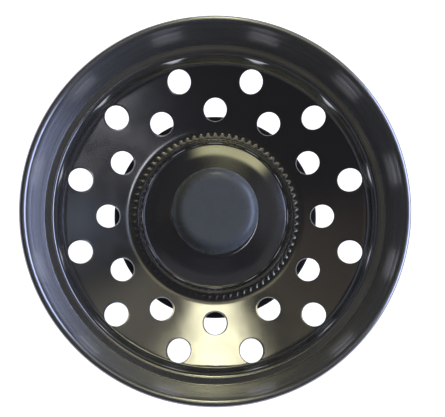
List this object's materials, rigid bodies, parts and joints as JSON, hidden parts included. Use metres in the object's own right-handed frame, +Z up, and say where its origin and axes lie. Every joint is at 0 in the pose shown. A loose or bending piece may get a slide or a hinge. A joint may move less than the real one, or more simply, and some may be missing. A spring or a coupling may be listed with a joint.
{
  "type": "sink strainer",
  "caption": "Lift-out basket for a kitchen sink drain: a perforated polished steel cup with a rolled rim, a grip knob, a rubber stopper and a post with sprung balls that snaps into the drain.",
  "frame": {"origin": "on the axis of the basket, in the plane where the rubber stopper seals on the drain's seat", "axes": "+Z up along the post and out of the cup's mouth; the two detent balls slide along X"},
  "size_m": [0.0826, 0.0826, 0.0605],
  "materials": {
    "stainless": "polished",
    "knob_plastic": "satin",
    "brass": "satin",
    "plated_brass": "polished",
    "zinc_steel": "satin",
    "ball_steel": "polished",
    "rubber": "matte"
  },
  "bodies": {
    "strainer": {"basket_shell": "stainless", "tooth_washer": "stainless", "centre_cap": "stainless", "knob": "knob_plastic", "knob_insert": "brass", "stud": "zinc_steel", "backing_plate": "zinc_steel", "rubber_stopper": "rubber", "cup_washer": "stainless", "lock_washer": "zinc_steel", "clamp_nut": "zinc_steel", "jam_nut": "zinc_steel", "ball_head": "plated_brass", "detent_spring": "zinc_steel"},
    "right_ball": {"detent_ball_right": "ball_steel"},
    "left_ball": {"detent_ball_left": "ball_steel"}
  },
  "joints": [
    {"name": "right_ball_slide", "type": "slide", "parent": "strainer", "child": "right_ball", "axis": [-1, 0, 0], "range_m": [0, 0.00082], "stiffness_N_per_m": 2000, "deforming": ["detent_spring"]},
    {"name": "left_ball_slide", "type": "slide", "parent": "strainer", "child": "left_ball", "axis": [1, 0, 0], "range_m": [0, 0.00082], "stiffness_N_per_m": 2000, "deforming": ["detent_spring"]}
  ]
}
